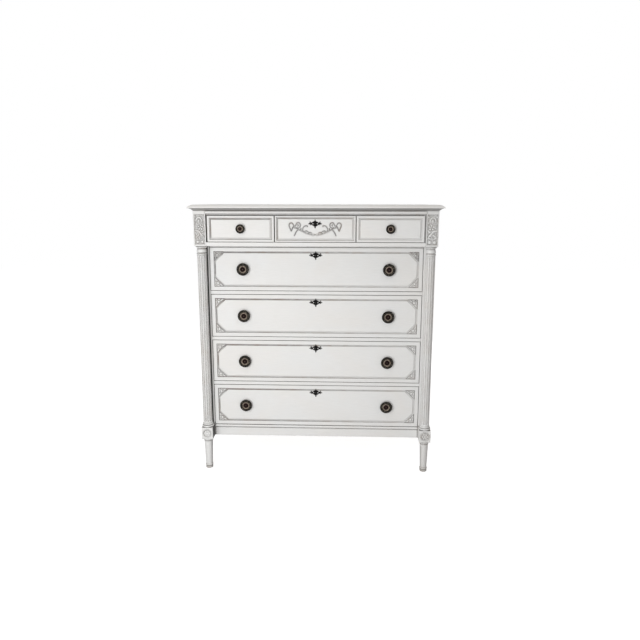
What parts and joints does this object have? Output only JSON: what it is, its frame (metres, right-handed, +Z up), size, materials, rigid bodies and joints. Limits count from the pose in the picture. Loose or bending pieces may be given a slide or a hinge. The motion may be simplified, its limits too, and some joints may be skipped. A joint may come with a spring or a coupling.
{
  "type": "semainier",
  "caption": "Tall painted chest with small frieze drawers over long drawers, free-standing fluted corner columns, moulded top and tapered turned legs.",
  "frame": {"origin": "on the floor under the centre of the top board", "axes": "+Z up, -Y towards the front of the drawers, +X to the right as seen from the front"},
  "size_m": [1.067, 0.508, 1.181],
  "materials": {
    "painted_wood": "aged off-white satin paint, warmer and thinner in the mouldings",
    "bare_wood": "unfinished aged softwood and hardwood",
    "aged_bronze": "dark antique bronze patina, rubbed lighter on the rims",
    "black_iron": "blackened, slightly worn on its edges",
    "lock_metal": "dull, slightly tarnished lock metal"
  },
  "bodies": {
    "root": {"top_board": "painted_wood", "frieze_moulding": "painted_wood", "frieze_rail": "painted_wood", "corner_block_left": "painted_wood", "corner_block_right": "painted_wood", "column_left": "painted_wood", "column_right": "painted_wood", "front_leg_left": "painted_wood", "front_leg_right": "painted_wood", "rear_leg_left": "painted_wood", "rear_leg_right": "painted_wood", "front_stile_left": "painted_wood", "front_stile_right": "painted_wood", "side_panel_left": "painted_wood", "side_panel_right": "painted_wood", "leg_rosettes": "painted_wood", "case_rails": "painted_wood", "drawer_rails": "painted_wood", "front_apron": "painted_wood", "frieze_partitions": "bare_wood", "frieze_dust_board": "bare_wood", "back_panel": "bare_wood", "drawer_runners": "bare_wood", "drawer_stops": "bare_wood"},
    "frieze_drawer_left": {"frieze_drawer_left_front": "painted_wood", "frieze_drawer_left_box": "bare_wood", "frieze_drawer_left_knob": "aged_bronze"},
    "frieze_drawer_right": {"frieze_drawer_right_front": "painted_wood", "frieze_drawer_right_box": "bare_wood", "frieze_drawer_right_knob": "aged_bronze"},
    "frieze_drawer_centre": {"frieze_drawer_centre_front": "painted_wood", "frieze_drawer_centre_box": "bare_wood", "frieze_drawer_centre_escutcheon": "black_iron", "frieze_drawer_centre_lock": "lock_metal", "frieze_drawer_centre_swag": "painted_wood"},
    "frieze_drawer_centre_bolt": {"frieze_drawer_centre_lock_bolt": "lock_metal"},
    "long_drawer_1": {"long_drawer_1_front": "painted_wood", "long_drawer_1_box": "bare_wood", "long_drawer_1_knobs": "aged_bronze", "long_drawer_1_escutcheon": "black_iron", "long_drawer_1_lock": "lock_metal"},
    "long_drawer_1_bolt": {"long_drawer_1_lock_bolt": "lock_metal"},
    "long_drawer_2": {"long_drawer_2_front": "painted_wood", "long_drawer_2_box": "bare_wood", "long_drawer_2_knobs": "aged_bronze", "long_drawer_2_escutcheon": "black_iron", "long_drawer_2_lock": "lock_metal"},
    "long_drawer_2_bolt": {"long_drawer_2_lock_bolt": "lock_metal"},
    "long_drawer_3": {"long_drawer_3_front": "painted_wood", "long_drawer_3_box": "bare_wood", "long_drawer_3_knobs": "aged_bronze", "long_drawer_3_escutcheon": "black_iron", "long_drawer_3_lock": "lock_metal"},
    "long_drawer_3_bolt": {"long_drawer_3_lock_bolt": "lock_metal"},
    "long_drawer_4": {"long_drawer_4_front": "painted_wood", "long_drawer_4_box": "bare_wood", "long_drawer_4_knobs": "aged_bronze", "long_drawer_4_escutcheon": "black_iron", "long_drawer_4_lock": "lock_metal"},
    "long_drawer_4_bolt": {"long_drawer_4_lock_bolt": "lock_metal"}
  },
  "joints": [
    {"name": "frieze_drawer_left_slide", "type": "slide", "parent": "root", "child": "frieze_drawer_left", "axis": [0, -1, 0], "range_m": [0, 0.3]},
    {"name": "frieze_drawer_centre_slide", "type": "slide", "parent": "root", "child": "frieze_drawer_centre", "axis": [0, -1, 0], "range_m": [0, 0.3]},
    {"name": "frieze_drawer_right_slide", "type": "slide", "parent": "root", "child": "frieze_drawer_right", "axis": [0, -1, 0], "range_m": [0, 0.3]},
    {"name": "long_drawer_1_slide", "type": "slide", "parent": "root", "child": "long_drawer_1", "axis": [0, -1, 0], "range_m": [0, 0.3]},
    {"name": "long_drawer_2_slide", "type": "slide", "parent": "root", "child": "long_drawer_2", "axis": [0, -1, 0], "range_m": [0, 0.3]},
    {"name": "long_drawer_3_slide", "type": "slide", "parent": "root", "child": "long_drawer_3", "axis": [0, -1, 0], "range_m": [0, 0.3]},
    {"name": "long_drawer_4_slide", "type": "slide", "parent": "root", "child": "long_drawer_4", "axis": [0, -1, 0], "range_m": [0, 0.3]},
    {"name": "frieze_drawer_centre_bolt_slide", "type": "slide", "parent": "frieze_drawer_centre", "child": "frieze_drawer_centre_bolt", "axis": [0, 0, 1], "range_m": [0, 0.008]},
    {"name": "long_drawer_1_bolt_slide", "type": "slide", "parent": "long_drawer_1", "child": "long_drawer_1_bolt", "axis": [0, 0, 1], "range_m": [0, 0.008]},
    {"name": "long_drawer_2_bolt_slide", "type": "slide", "parent": "long_drawer_2", "child": "long_drawer_2_bolt", "axis": [0, 0, 1], "range_m": [0, 0.008]},
    {"name": "long_drawer_3_bolt_slide", "type": "slide", "parent": "long_drawer_3", "child": "long_drawer_3_bolt", "axis": [0, 0, 1], "range_m": [0, 0.008]},
    {"name": "long_drawer_4_bolt_slide", "type": "slide", "parent": "long_drawer_4", "child": "long_drawer_4_bolt", "axis": [0, 0, 1], "range_m": [0, 0.008]}
  ]
}
